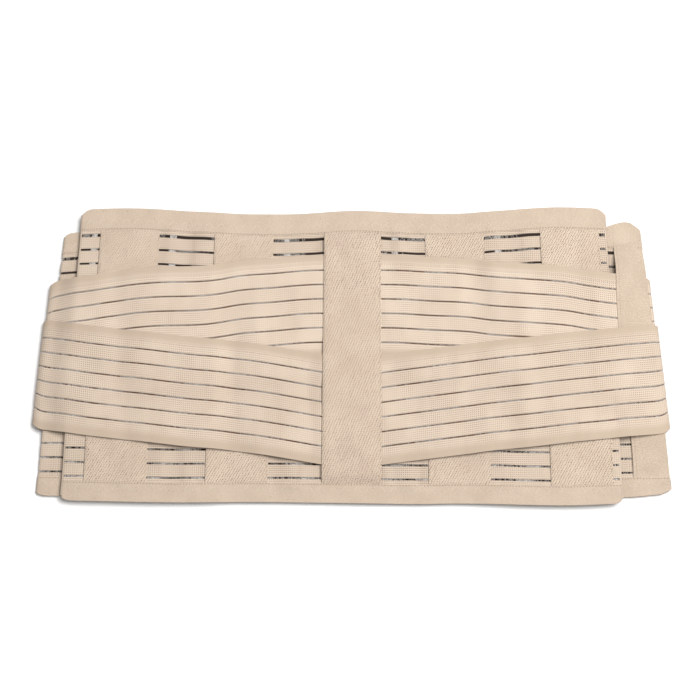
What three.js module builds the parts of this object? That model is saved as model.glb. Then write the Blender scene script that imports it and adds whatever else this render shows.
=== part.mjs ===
// Maternity support belt, fastened and laid flat on its front with the back facing up.
// A ribbed elastic band runs round as one flattened loop, with an inward pleat at each side.
// Millimetres. X runs along the belt, Y from its lower to its upper edge, Z up from the table.
import * as THREE from "three";

// Outline of the belt as it lies
const backHeight = 256;
const leftPleatEdge = 241;
const rightPleatEdge = 224.5;
const leftOuterFold = 258.6;
const rightOuterFold = 258;
const pleatReach = 118;
const pleatRise = 28;
const pleatClearance = 5;
const flare = 0.051;
const lean = 0.0045;
const leftSlant = 0.03;
const rightSlant = 0.0475;
const topWave = 6;
const bottomWave = 4;
const heightWave = 1.6;
const leftTopDrop = 15;
const rightTopDrop = 11;
const bottomRise = 4;
const cornerDrop = 5;
const cornerRun = 9;

// Cloth thicknesses and the air left between them
const elasticThickness = 1.3;
const hemThickness = 1.9;
const coverThickness = 1;
const strapThickness = 1.2;
const frontThickness = 1.6;
const seamGap = 0.3;
const hemSeam = 0.45;
const layerGap = 0.6;
const strapGap = 0.5;

// Hems, stay covers and the panel over the spine
const hemWidth = 19;
const bottomHemWidth = 16.4;
const coverWidth = 52;
const leftOuterCover = 197;
const leftInnerCover = 96;
const rightInnerCover = 90.2;
const rightOuterCover = 192;
const spinePanelWidth = 50;
const spineStepInside = 3;
const spineStepOutside = 1;

// Front closure panels and the plain guide panel at the right-hand side
const frontSeam = 100;
const frontOverlap = 91;
const frontRise = 40;
const guideWidth = 26.5;
const guideOverhang = 2.8;
const guideEdge = rightOuterFold + guideOverhang;
const guideSeam = guideEdge - guideWidth;
const guideHeadDrop = 12;
const guideFootRise = 8.5;
const guideMargin = 4;
const guideRamp = 18;

// The four straps
const strapStart = 3;
const strapTail = 70;
const strapDescent = 15;
const upperStrapWidth = 91;
const upperStrapTop = 87.7;
const leftUpperDrop = 22.8;
const rightUpperDrop = 18;
const lowerStrapWidth = 94;
const lowerStrapTop = -4.6;
const leftLowerRise = 36;
const rightLowerRise = 31.6;
const tailShift = 8;
const leftUpperOverhang = 7.6;
const leftLowerOverhang = 9.6;
const rightUpperOverhang = 5.6;
const rightLowerOverhang = 7.6;
const leftUpperFold = leftOuterFold + leftUpperOverhang;
const leftLowerFold = leftOuterFold + leftLowerOverhang;
const rightUpperFold = rightOuterFold + rightUpperOverhang;
const rightLowerFold = rightOuterFold + rightLowerOverhang;
const foldDepth = 4.5;

// Open lines of the breathable elastic
const slitPitch = 12.65;
const bottomSlitPitch = 12;
const bodySlit = 1.9;
const strapSlit = 1.2;
const firstSlit = 4.5;
const upperStrapMargin = 13.9;
const lowerStrapMargin = 15.4;
const strapSlitCount = 6;
const bodySlitRows = 3;

const foldSteps = 4;

// The upper edge swells where the stays and pleats lie and dips between them.
// at: share of the way from the spine (0) to the pleat edge (-1 left, 1 right).
// rise: share of the wave, up or down.
const upperEdge = [
  { at: -1, rise: 0.1 },
  { at: -0.8, rise: 0.25 },
  { at: -0.6, rise: -0.17 },
  { at: -0.42, rise: -0.45 },
  { at: -0.2, rise: -0.45 },
  { at: 0, rise: 0 },
  { at: 0.24, rise: -0.35 },
  { at: 0.42, rise: -0.4 },
  { at: 0.58, rise: -0.08 },
  { at: 0.8, rise: 0.4 },
  { at: 1, rise: 0.2 },
];
const lowerEdge = [
  { at: -1, rise: 0.8 },
  { at: -0.6, rise: 0.35 },
  { at: -0.35, rise: 0.5 },
  { at: 0, rise: 0.25 },
  { at: 0.25, rise: 0.08 },
  { at: 0.4, rise: 0.18 },
  { at: 0.8, rise: -0.3 },
  { at: 1, rise: 0.1 },
];

// How far each strap has moved across the belt. at: share of the way from the spine to its fold.
// moved: share of its whole drop or rise.
const leftUpperCourse = [
  { at: 0, moved: 0 },
  { at: 0.14, moved: 0 },
  { at: 0.26, moved: 0.13 },
  { at: 0.38, moved: 0.25 },
  { at: 0.47, moved: 0.44 },
  { at: 0.65, moved: 0.53 },
  { at: 0.77, moved: 0.67 },
  { at: 0.85, moved: 0.82 },
  { at: 1, moved: 1 },
];
const rightUpperCourse = [
  { at: 0, moved: 0 },
  { at: 0.14, moved: 0 },
  { at: 0.26, moved: 0.11 },
  { at: 0.39, moved: 0.21 },
  { at: 0.47, moved: 0.37 },
  { at: 0.58, moved: 0.49 },
  { at: 0.71, moved: 0.63 },
  { at: 0.78, moved: 0.8 },
  { at: 0.85, moved: 0.93 },
  { at: 1, moved: 1 },
];
const leftLowerCourse = [
  { at: 0, moved: 0 },
  { at: 0.13, moved: 0.165 },
  { at: 0.26, moved: 0.326 },
  { at: 0.39, moved: 0.455 },
  { at: 0.52, moved: 0.53 },
  { at: 0.65, moved: 0.642 },
  { at: 0.84, moved: 0.805 },
  { at: 1, moved: 1 },
];
const rightLowerCourse = [
  { at: 0, moved: 0 },
  { at: 0.13, moved: 0.165 },
  { at: 0.26, moved: 0.3 },
  { at: 0.39, moved: 0.435 },
  { at: 0.45, moved: 0.5 },
  { at: 0.58, moved: 0.603 },
  { at: 0.71, moved: 0.73 },
  { at: 0.84, moved: 0.845 },
  { at: 1, moved: 1 },
];

// Values that follow from the sizes above
const halfHeight = backHeight / 2;
const layerPitch = hemThickness + layerGap;
const strapPitch = strapThickness + strapGap;
const liftHeight = 2 * strapPitch + elasticThickness / 2 - hemThickness / 2;
const liftFoot = halfHeight - hemWidth - 2;
const liftShoulder = halfHeight / 2;
const layerHeight = (layer) => hemThickness / 2 + layer * layerPitch;
const bend = layerPitch / 2;
const riseEnd = pleatReach + bend + pleatClearance;
const riseStart = riseEnd - pleatRise;
const halfCover = coverWidth / 2;
const halfSpine = spinePanelWidth / 2;

const smooth = (value, from, to) => THREE.MathUtils.smoothstep(value, from, to);
const mix = THREE.MathUtils.lerp;

// A smooth curve through one column of a table.
function curveThrough(rows, column) {
  const places = new Float32Array(rows.map((row) => row.at));
  const values = new Float32Array(rows.map((row) => row[column]));
  const curve = new THREE.CubicInterpolant(places, values, 1, new Float32Array(1));
  return (at) => curve.evaluate(THREE.MathUtils.clamp(at, places[0], places.at(-1)))[0];
}

const upperWave = curveThrough(upperEdge, "rise");
const lowerWave = curveThrough(lowerEdge, "rise");

const left = {
  name: "left",
  sign: -1,
  pleatEdge: leftPleatEdge,
  outerFold: leftOuterFold,
  slant: leftSlant,
  topDrop: leftTopDrop,
  innerCover: leftInnerCover,
  outerCover: leftOuterCover,
  stripEnd: leftOuterFold - cornerRun,
  guide: false,
  upper: { drop: -leftUpperDrop, fold: leftUpperFold, course: curveThrough(leftUpperCourse, "moved") },
  lower: { drop: leftLowerRise, fold: leftLowerFold, course: curveThrough(leftLowerCourse, "moved") },
};
const right = {
  name: "right",
  sign: 1,
  pleatEdge: rightPleatEdge,
  outerFold: rightOuterFold,
  slant: rightSlant,
  topDrop: rightTopDrop,
  innerCover: rightInnerCover,
  outerCover: rightOuterCover,
  stripEnd: guideSeam,
  guide: true,
  upper: { drop: -rightUpperDrop, fold: rightUpperFold, course: curveThrough(rightUpperCourse, "moved") },
  lower: { drop: rightLowerRise, fold: rightLowerFold, course: curveThrough(rightLowerCourse, "moved") },
};
const sideAt = (x) => (x < 0 ? left : right);

// The belt widens a little towards its lower edge, leans, and its outer folds slant outwards.
function place(x, y, z) {
  const side = sideAt(x);
  const outward = smooth(Math.abs(x), side.pleatEdge, side.outerFold);
  const slanted = x - side.sign * side.slant * y * outward;
  return new THREE.Vector3(slanted * (1 - (flare * y) / backHeight) + lean * y, y, z);
}

// The straps that pass beneath lift the middle of the belt. The hems lie on the table.
const lift = (y) => liftHeight * (1 - smooth(Math.abs(y), liftShoulder, liftFoot));

// Middle of the back layer's cloth: higher over the pleats, low between them.
function backHeightAt(x) {
  const side = sideAt(x);
  const overPleat = smooth(Math.abs(x), riseStart, riseEnd);
  const wave = heightWave * (0.5 + upperWave(x / side.pleatEdge));
  return mix(layerHeight(2), layerHeight(3), overPleat) + wave;
}

const backTop = (x) => halfHeight + topWave * upperWave(x / sideAt(x).pleatEdge);
const backBottom = (x) => -halfHeight + bottomWave * lowerWave(x / sideAt(x).pleatEdge);

// Distances from the spine at which everything on the back is given: the edges of the covers,
// the windows between them, and the rise over the pleat.
function backDistances(side) {
  const edges = [side.innerCover - halfCover, side.innerCover + halfCover];
  edges.push(side.outerCover - halfCover, side.outerCover + halfCover);
  const between = [0, 0.35, 0.7, 1].map((share) => riseStart + pleatRise * share);
  between.push(mix(halfSpine, edges[0], 0.5), mix(between[3], edges[2], 0.5), side.outerCover);
  const fixed = [0, halfSpine, ...edges, side.pleatEdge - bend];
  const spaced = between.filter((x) => fixed.every((other) => Math.abs(other - x) > 2));
  return [...fixed, ...spaced].sort((a, b) => a - b);
}

// Windows of bare elastic on the back of one side, between the covers.
function backWindows(side) {
  return [
    [halfSpine, side.innerCover - halfCover],
    [side.innerCover + halfCover, side.outerCover - halfCover],
    [side.outerCover + halfCover, side.pleatEdge - bend],
  ];
}

// Stations of the cloth from the spine out to one side: the back layer, in under it to the
// pleat's inner fold, out to the outer fold, and in again under all of it to the front seam.
function sideStations(side) {
  const stations = [];
  const pleatTravel = side.pleatEdge - pleatReach;
  const travelToOuter = pleatTravel + side.outerFold - pleatReach;
  const add = (distance, z, travel, layer) => {
    const share = travel / travelToOuter;
    const onBack = layer === "back";
    const nearPleat = onBack ? Math.max(0, distance - side.pleatEdge + cornerRun) / cornerRun : 1;
    const nearOuter = Math.max(0, 1 - Math.abs(travel - travelToOuter) / cornerRun);
    const corner = cornerDrop * (nearPleat ** 2 + nearOuter ** 2);
    const edgeAt = side.sign * (onBack ? distance : side.pleatEdge);
    stations.push({
      x: side.sign * distance,
      z,
      layer,
      top: backTop(edgeAt) - side.topDrop * share - corner,
      bottom: backBottom(edgeAt) + bottomRise * share + corner / 2,
    });
  };
  const fold = (apex, outward, zFrom, zTo, travel) => {
    for (let step = 1; step < foldSteps; step++) {
      const angle = Math.PI / 2 - (Math.PI * step) / foldSteps;
      const distance = apex - outward * bend * (1 - Math.cos(angle));
      add(distance, (zFrom + zTo) / 2 + ((zFrom - zTo) / 2) * Math.sin(angle), travel, "fold");
    }
  };
  for (const distance of backDistances(side)) {
    add(distance, backHeightAt(side.sign * distance), 0, "back");
  }
  fold(side.pleatEdge, 1, stations.at(-1).z, layerHeight(2), 1);
  add(side.pleatEdge - bend, layerHeight(2), 2, "pleat");
  add(pleatReach + bend, layerHeight(2), pleatTravel, "pleat");
  fold(pleatReach, -1, layerHeight(2), layerHeight(1), pleatTravel);
  add(pleatReach + bend, layerHeight(1), pleatTravel, "side");
  add(side.pleatEdge, layerHeight(1), 2 * pleatTravel, "side");
  add(side.stripEnd, layerHeight(1), travelToOuter - side.outerFold + side.stripEnd, "side");
  add(side.outerFold - bend, layerHeight(1), travelToOuter - bend, "side");
  fold(side.outerFold, 1, layerHeight(1), layerHeight(0), travelToOuter);
  add(side.outerFold - bend, layerHeight(0), travelToOuter + bend, "front");
  add(side.outerFold - cornerRun, layerHeight(0), travelToOuter + cornerRun, "front");
  add(frontSeam + seamGap / 2, layerHeight(0), travelToOuter + side.outerFold - frontSeam, "front");
  return stations;
}

// Closed solid of one thickness about a grid of middle points, a column for each station.
// Cells for which open(i, j) is true are left out and walled round.
function sheet(columns, thickness, open = () => false) {
  const across = columns[0].length;
  const count = columns.length * across;
  const positions = [];
  for (const face of [0.5, -0.5]) {
    columns.forEach((column, i) => {
      const before = columns[Math.max(i - 1, 0)];
      const after = columns[Math.min(i + 1, columns.length - 1)];
      column.forEach((point, j) => {
        const along = after[j].clone().sub(before[j]);
        const up = column[Math.min(j + 1, across - 1)].clone().sub(column[Math.max(j - 1, 0)]);
        const normal = along.cross(up).normalize();
        positions.push(...point.clone().addScaledVector(normal, face * thickness).toArray());
      });
    });
  }
  const indices = [];
  const quad = (a, b, c, d) => indices.push(a, b, c, a, c, d);
  const near = (i, j) => i * across + j;
  const far = (i, j) => count + near(i, j);
  const empty = (i, j) => i < 0 || j < 0 || i >= columns.length - 1 || j >= across - 1 || open(i, j);
  for (let i = 0; i < columns.length - 1; i++) {
    for (let j = 0; j < across - 1; j++) {
      if (open(i, j)) continue;
      quad(near(i, j), near(i + 1, j), near(i + 1, j + 1), near(i, j + 1));
      quad(far(i, j), far(i, j + 1), far(i + 1, j + 1), far(i + 1, j));
      if (empty(i, j - 1)) quad(near(i, j), far(i, j), far(i + 1, j), near(i + 1, j));
      if (empty(i, j + 1)) quad(near(i, j + 1), near(i + 1, j + 1), far(i + 1, j + 1), far(i, j + 1));
      if (empty(i - 1, j)) quad(near(i, j), near(i, j + 1), far(i, j + 1), far(i, j));
      if (empty(i + 1, j)) quad(near(i + 1, j), far(i + 1, j), far(i + 1, j + 1), near(i + 1, j + 1));
    }
  }
  const geometry = new THREE.BufferGeometry();
  geometry.setAttribute("position", new THREE.Float32BufferAttribute(positions, 3));
  geometry.setIndex(indices);
  return geometry;
}

const cloth = (color, roughness) => new THREE.MeshStandardMaterial({ color, roughness, metalness: 0 });
const elasticCloth = cloth(0xe3d2bf, 0.9);
const hemCloth = cloth(0xd3c0aa, 0.85);
const twillCloth = cloth(0xdac8b4, 0.85);
const plainCloth = cloth(0xe0cfbd, 0.95);

const belt = new THREE.Group();
function addPiece(name, geometry, material) {
  const mesh = new THREE.Mesh(geometry, material);
  mesh.name = name;
  belt.add(mesh);
}

const rightStations = sideStations(right);
const loop = [...sideStations(left).slice(1).reverse(), ...rightStations];

// Columns of the band, with the rows across it that rowsOf gives at each station.
function bandColumns(rowsOf) {
  return loop.map((station) => rowsOf(station).map((y) => place(station.x, y, station.z + lift(y))));
}

// Rows across the elastic: both edges of each open line near the hems, and two between.
function slitInsets(pitch) {
  const insets = [];
  for (let row = 0; row < bodySlitRows; row++) {
    const inset = firstSlit + row * pitch;
    insets.push(inset - bodySlit / 2, inset + bodySlit / 2);
  }
  return insets;
}
function elasticRows({ top, bottom }) {
  const low = bottom + bottomHemWidth;
  const high = top - hemWidth;
  const lowSlits = slitInsets(bottomSlitPitch).map((inset) => low + inset);
  const highSlits = slitInsets(slitPitch).map((inset) => high - inset).reverse();
  const between = [lowSlits.at(-1) + bottomSlitPitch, highSlits[0] - slitPitch];
  return [low + hemSeam, ...lowSlits, ...between, ...highSlits, high - hemSeam];
}
const rowCount = 2 + 4 * bodySlitRows + 2;
const isSlitRow = (j) => {
  const fromNearEdge = Math.min(j, rowCount - 2 - j);
  return fromNearEdge % 2 === 1 && fromNearEdge < 2 * bodySlitRows;
};

// True for a cell of the band that lies in an open line.
function bodyOpen(i, j) {
  if (!isSlitRow(j)) return false;
  const [from, to] = [loop[i], loop[i + 1]];
  const side = sideAt(from.x + to.x);
  const [near, far] = [Math.abs(from.x), Math.abs(to.x)].sort((a, b) => a - b);
  if (from.layer !== to.layer) return false;
  if (from.layer === "back") {
    return backWindows(side).some(([start, end]) => near >= start && far <= end);
  }
  return from.layer === "side" && near >= side.pleatEdge && far <= side.stripEnd;
}

// A patch of the back layer, from hem to hem over the given distances, raised off its middle.
function backPatch(places, rowsOf, raise) {
  return places.map((x) => {
    const rows = rowsOf({ top: backTop(x), bottom: backBottom(x) });
    return rows.map((y) => place(x, y, backHeightAt(x) + lift(y) + raise(y)));
  });
}

// A strap's upper edge, and the upper strap's lower edge, at a distance from the spine.
const strapTop = (strap, start, distance) => start + strap.drop * strap.course(distance / strap.fold);
const upperTopAt = (side, distance) => strapTop(side.upper, upperStrapTop, distance);
const upperBottomAt = (side, distance) => upperTopAt(side, distance) - upperStrapWidth;

// Middle of the upper strap where it lies over the covers and then drops on to the side fold.
const overCovers = elasticThickness / 2 + seamGap + coverThickness + strapGap + strapThickness / 2;
const overElastic = elasticThickness / 2 + strapGap + strapThickness / 2;
function upperHeight(side, distance, y) {
  const dropped = smooth(distance, side.pleatEdge, side.pleatEdge + strapDescent);
  const onBack = backHeightAt(side.sign * Math.min(distance, side.pleatEdge - bend)) + overCovers;
  return mix(onBack, layerHeight(1) + overElastic, dropped) + lift(y);
}

// The lower strap climbs over the upper one, and at the right-hand side over the guide panel.
function lowerHeight(side, distance, y) {
  const climbEnd = upperBottomAt(side, distance) - slitPitch;
  const overUpper = strapPitch * smooth(y, climbEnd - slitPitch, climbEnd);
  const overGuide = side.guide ? smooth(distance, side.pleatEdge - bend, guideSeam - 1) : 0;
  return upperHeight(side, distance, y) + overUpper + overGuide * (coverThickness + strapGap);
}

const upperKind = {
  name: "upper",
  start: upperStrapTop,
  width: upperStrapWidth,
  margin: upperStrapMargin,
  under: strapThickness / 2 + strapPitch,
  height: upperHeight,
};
const lowerKind = {
  name: "lower",
  start: lowerStrapTop,
  width: lowerStrapWidth,
  margin: lowerStrapMargin,
  under: strapThickness / 2,
  height: lowerHeight,
};

// Rows across a strap, from its lower edge up: both edges of each open line.
function strapRows(kind, top) {
  const rows = [top];
  for (let line = 0; line < strapSlitCount; line++) {
    const middle = top - kind.margin - line * slitPitch;
    rows.unshift(middle - strapSlit / 2, middle + strapSlit / 2);
  }
  return [top - kind.width, ...rows];
}

// One strap: out from the spine over the back, round the side, and in again underneath.
// Its open lines run in two lengths, with a bridge of cloth beside the inner stay cover.
function strapGeometry(side, kind) {
  const strap = side[kind.name];
  const centre = strap.fold - foldDepth;
  const descent = [0.3, 0.65, 1].map((share) => side.pleatEdge + strapDescent * share);
  const run = [strapStart, ...backDistances(side).slice(1), side.pleatEdge, ...descent, centre];
  const distances = run.filter((distance, i) => i === 0 || distance > run[i - 1] + 1);
  const columns = distances.map((distance) => {
    const rows = strapRows(kind, strapTop(strap, kind.start, distance));
    return rows.map((y) => place(side.sign * distance, y, kind.height(side, distance, y)));
  });
  const foldRows = strapRows(kind, strapTop(strap, kind.start, strap.fold));
  for (let step = 1; step <= foldSteps + 1; step++) {
    const angle = Math.PI / 2 - (Math.PI * step) / (foldSteps + 1);
    const x = side.sign * (centre + foldDepth * Math.cos(angle));
    const turned = 0.5 + 0.5 * Math.sin(angle);
    columns.push(foldRows.map((y) => place(x, y, mix(kind.under, kind.height(side, centre, y), turned))));
  }
  const shift = Math.sign(strap.drop) * tailShift;
  columns.push(foldRows.map((y) => place(side.sign * strapTail, y + shift, kind.under)));
  const bridge = side.innerCover + halfCover;
  const lineEnd = side.pleatEdge - bend;
  const open = (i, j) => {
    const cell = side.sign > 0 ? i : columns.length - 2 - i;
    const [near, far] = [distances[cell], distances[cell + 1]];
    const inLine = near >= halfSpine && far <= lineEnd && near !== bridge;
    return j % 2 === 1 && j < 2 * strapSlitCount && inLine;
  };
  return sheet(side.sign > 0 ? columns : columns.reverse(), strapThickness, open);
}

// Elastic body and the hems sewn along its edges
addPiece("body_elastic", sheet(bandColumns(elasticRows), elasticThickness, bodyOpen), elasticCloth);
const topHem = bandColumns(({ top }) => [top - hemWidth, top]);
addPiece("top_hem", sheet(topHem, hemThickness), hemCloth);
const bottomHem = bandColumns(({ bottom }) => [bottom, bottom + bottomHemWidth]);
addPiece("bottom_hem", sheet(bottomHem, hemThickness), hemCloth);

// Stay covers on the back
const coverRaise = elasticThickness / 2 + seamGap + coverThickness / 2;
const coverRows = (edges) => elasticRows(edges).filter((y, j) => !isSlitRow(j - 1));
for (const side of [left, right]) {
  for (const [name, centre] of [["inner", side.innerCover], ["outer", side.outerCover]]) {
    const covered = (distance) => Math.abs(distance - centre) < halfCover + seamGap;
    const reach = backDistances(side).filter(covered);
    const places = reach.map((distance) => side.sign * distance).sort((a, b) => a - b);
    const columns = backPatch(places, coverRows, () => coverRaise);
    addPiece("stay_cover_" + side.name + "_" + name, sheet(columns, coverThickness), twillCloth);
  }
}

// Panel over the spine, which covers the ends of the straps
const strapsMeet = upperStrapTop - upperStrapWidth;
const crossing = [-3.6, -2.4, 0.8, 1.8].map((share) => strapsMeet + share * slitPitch);
const strapsEnd = lowerStrapTop - lowerStrapWidth - spineStepOutside;
function spineRows(edges) {
  const rows = coverRows(edges);
  const lower = [...rows.filter((y) => y < crossing[0]), strapsEnd].sort((a, b) => a - b);
  return [...lower, ...crossing, ...rows.filter((y) => y > crossing[3])];
}
function spineRaise(y) {
  const overStraps = 1 - smooth(Math.abs(y), liftFoot - spineStepInside, liftFoot + spineStepOutside);
  const overCrossing = smooth(y, crossing[0], crossing[1]) * (1 - smooth(y, crossing[2], crossing[3]));
  return coverRaise + overStraps * (strapPitch + seamGap + coverThickness) + overCrossing * strapPitch;
}
const spineColumns = backPatch([-halfSpine, 0, halfSpine], spineRows, spineRaise);
addPiece("spine_panel", sheet(spineColumns, coverThickness), twillCloth);

// Straps
for (const side of [left, right]) {
  addPiece("upper_strap_" + side.name, strapGeometry(side, upperKind), elasticCloth);
  addPiece("lower_strap_" + side.name, strapGeometry(side, lowerKind), elasticCloth);
}

// Plain guide panel at the right-hand side: the upper strap passes under it
function guideColumn(distance) {
  const top = halfHeight - guideHeadDrop;
  const bottom = -halfHeight + guideFootRise;
  const strapLow = upperBottomAt(right, distance) - guideMargin;
  const strapHigh = upperTopAt(right, distance) + guideMargin;
  const lowRows = [0, 0.3, 0.6, 1].map((share) => mix(bottom, strapLow - guideRamp, share));
  const highRows = [0, 0.5, 1].map((share) => mix(strapHigh + guideRamp, top, share));
  const rows = [...lowRows, strapLow, 0, liftShoulder, strapHigh, ...highRows];
  return rows.map((y) => {
    const aboveLow = smooth(y, strapLow - guideRamp, strapLow);
    const belowHigh = 1 - smooth(y, strapHigh, strapHigh + guideRamp);
    const clear = strapGap + coverThickness / 2;
    const onStrap = upperHeight(right, distance, y) + strapThickness / 2 + clear;
    const onFold = layerHeight(1) + lift(y) + hemThickness / 2 + clear;
    return place(distance, y, mix(onFold, onStrap, aboveLow * belowHigh));
  });
}
const guideColumns = [0, 0.25, 0.5, 1].map((share) => guideColumn(mix(guideSeam, guideEdge, share)));
addPiece("guide_panel", sheet(guideColumns, coverThickness), plainCloth);

// Front closure panels, lapped over each other under the back
function frontColumns(sign, climbs) {
  const columns = [];
  const end = rightStations.at(-1);
  const rows = coverRows({ top: end.top + hemWidth / 2, bottom: end.bottom - bottomHemWidth / 2 });
  for (const share of [0, 0.1, 0.25, 0.4, 0.7, 1]) {
    const distance = mix(frontSeam - seamGap / 2, -frontOverlap / 2, share);
    const climb = climbs ? 1 - smooth(distance, frontSeam - frontRise, frontSeam - 2) : 0;
    const z = layerHeight(0) + climb * layerPitch;
    columns.push(rows.map((y) => place(sign * distance, y, z + lift(y))));
  }
  return sign > 0 ? columns.reverse() : columns;
}
addPiece("front_panel_right", sheet(frontColumns(1, false), frontThickness), plainCloth);
addPiece("front_panel_left", sheet(frontColumns(-1, true), frontThickness), plainCloth);

// The origin is the middle of the underside
const box = new THREE.Box3().setFromObject(belt);
const middle = box.getCenter(new THREE.Vector3());
belt.position.set(-middle.x, -middle.y, -box.min.z);

export default belt;
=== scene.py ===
import math

import bmesh
import bpy
import numpy as np
from mathutils import Matrix, Vector


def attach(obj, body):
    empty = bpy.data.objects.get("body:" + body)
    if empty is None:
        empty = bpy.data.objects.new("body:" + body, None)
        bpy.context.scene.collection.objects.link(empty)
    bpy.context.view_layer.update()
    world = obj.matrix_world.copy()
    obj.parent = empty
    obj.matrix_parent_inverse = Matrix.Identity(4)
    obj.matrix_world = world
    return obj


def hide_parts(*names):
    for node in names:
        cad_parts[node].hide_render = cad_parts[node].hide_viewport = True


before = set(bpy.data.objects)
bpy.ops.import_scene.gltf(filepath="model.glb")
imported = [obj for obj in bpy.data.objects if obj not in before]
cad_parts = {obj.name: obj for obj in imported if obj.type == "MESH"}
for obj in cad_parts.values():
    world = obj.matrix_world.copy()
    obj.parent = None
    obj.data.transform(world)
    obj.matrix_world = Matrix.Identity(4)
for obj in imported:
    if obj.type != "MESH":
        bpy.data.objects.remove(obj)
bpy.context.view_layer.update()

# Camera and light
# The belt lies on a pale table and is seen from above its lower edge, steeply down.
# A broad soft lamp stands beyond the upper edge, and pale walls light it from all round.
elevation = math.radians(80)
aim = Vector((-0.001, 0.004, 0.01))
backwards = Vector((0, -math.cos(elevation), math.sin(elevation)))
camera = bpy.data.objects.new("camera", bpy.data.cameras.new("camera"))
camera.data.lens = 107.8
camera.data.sensor_width = 36
camera.location = aim + 1.8 * backwards
camera.rotation_euler = backwards.to_track_quat("Z", "Y").to_euler()
camera.data.clip_end = 50
bpy.context.scene.collection.objects.link(camera)
bpy.context.scene.camera = camera


def soft_lamp(name, place, size, power):
    lamp = bpy.data.objects.new(name, bpy.data.lights.new(name, "AREA"))
    lamp.data.shape = "DISK"
    lamp.data.size = size
    lamp.data.energy = power
    lamp.location = place
    lamp.rotation_euler = Vector(place).to_track_quat("Z", "Y").to_euler()
    bpy.context.scene.collection.objects.link(lamp)


soft_lamp("key_lamp", (0.7, 0.35, 2.1), 1.3, 77)

walls = bpy.data.worlds.new("walls")
walls.use_nodes = True
walls.node_tree.nodes["Background"].inputs["Color"].default_value = (1, 0.985, 0.965, 1)
walls.node_tree.nodes["Background"].inputs["Strength"].default_value = 0.5
bpy.context.scene.world = walls
bpy.context.scene.view_settings.view_transform = "Standard"

# Table
# A smooth white table top that runs out of sight on every side.
# It only takes the belt's thin shadow.
bm = bmesh.new()
bmesh.ops.create_grid(bm, x_segments=1, y_segments=1, size=20)
table_top = bpy.data.objects.new("table_top", bpy.data.meshes.new("table_top"))
bm.to_mesh(table_top.data)
bm.free()
white_paint = bpy.data.materials.new("white_table")
white_paint.use_nodes = True
paint = white_paint.node_tree.nodes["Principled BSDF"]
paint.inputs["Base Color"].default_value = (0.74, 0.74, 0.74, 1)
paint.inputs["Roughness"].default_value = 0.9
table_top.data.materials.append(white_paint)
bpy.context.scene.collection.objects.link(table_top)

# Elastic body
# A breathable woven band, 256 mm tall with its hems, that runs round as one flattened loop.
# Each side is tucked in as a pleat, so three more layers of it lie under the back.
# Rows of open lines, where only a net of fine filament is knitted, run along it.
MM = 0.001
centre_shift = np.array([0.824646, -0.592659, 0.0])

back_height = 256
pleat_reach = 118
pleat_rise = 28
elastic_thickness = 1.3
hem_thickness = 1.9
strap_thickness = 1.2
strap_gap = 0.5
hem_width = 19
bottom_hem_width = 16.4
half_height = back_height / 2
layer_pitch = hem_thickness + 0.6
strap_pitch = strap_thickness + strap_gap
bend = layer_pitch / 2
lift_height = 2 * strap_pitch + elastic_thickness / 2 - hem_thickness / 2
lift_foot = half_height - hem_width - 2
lift_shoulder = half_height / 2
rise_end = pleat_reach + bend + 5
line_pitch = 12.65
bottom_line_pitch = 12
body_line = 2.1
hem_lap = 3
cover_width = 52
spine_width = 50
cover_half = cover_width / 2
spine_half = spine_width / 2
front_seam = 100


def ease(value, start, end):
    share = np.clip((value - start) / (end - start), 0, 1)
    return share * share * (3 - 2 * share)


def mix(start, end, share):
    return start + (end - start) * share


def curve_through(points):
    places, values = np.array(points, float).T

    def curve(at):
        at = np.clip(np.asarray(at, float), places[0], places[-1])
        i = np.clip(np.searchsorted(places, at, side="right") - 1, 0, len(places) - 2)
        before = np.where(i > 0, i - 1, i + 1)
        after = np.where(i < len(places) - 2, i + 2, i)
        half = (places[i + 1] - places[i]) / 2
        w_before = half / (places[i] - places[before])
        w_after = half / (places[after] - places[i + 1])
        p = (at - places[i]) / (2 * half)
        s_before = -w_before * p**3 + 2 * w_before * p**2 - w_before * p
        s_here = (1 + w_before) * p**3 - (1.5 + 2 * w_before) * p**2 + (w_before - 0.5) * p + 1
        s_next = -(1 + w_after) * p**3 + (1.5 + w_after) * p**2 + 0.5 * p
        s_after = w_after * p**3 - w_after * p**2
        near = s_before * values[before] + s_here * values[i]
        return near + s_next * values[i + 1] + s_after * values[after]

    return curve


upper_edge = [(-1, 0.1), (-0.8, 0.25), (-0.6, -0.17), (-0.42, -0.45), (-0.2, -0.45), (0, 0)]
upper_edge += [(0.24, -0.35), (0.42, -0.4), (0.58, -0.08), (0.8, 0.4), (1, 0.2)]
lower_edge = [(-1, 0.8), (-0.6, 0.35), (-0.35, 0.5), (0, 0.25), (0.25, 0.08)]
lower_edge += [(0.4, 0.18), (0.8, -0.3), (1, 0.1)]
upper_wave = curve_through(upper_edge)
lower_wave = curve_through(lower_edge)


class Side:
    """One side of the belt, in millimetres from the spine."""

    def __init__(self, name, sign, pleat_edge, outer_fold, slant, top_drop, rise, covers, strip_end):
        self.name = name
        self.sign = sign
        self.pleat_edge = pleat_edge
        self.outer_fold = outer_fold
        self.slant = slant
        self.top_drop = top_drop
        self.rise = rise
        self.covers = covers
        self.strip_end = strip_end


left = Side("left", -1, 241, 258.6, 0.03, 15, 2, (96, 197), 249.6)
right = Side("right", 1, 224.5, 258, 0.0475, 11, 4, (90.2, 192), 234.3)


def by_side(x, left_value, right_value):
    return np.where(np.asarray(x) < 0, left_value, right_value)


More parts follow.
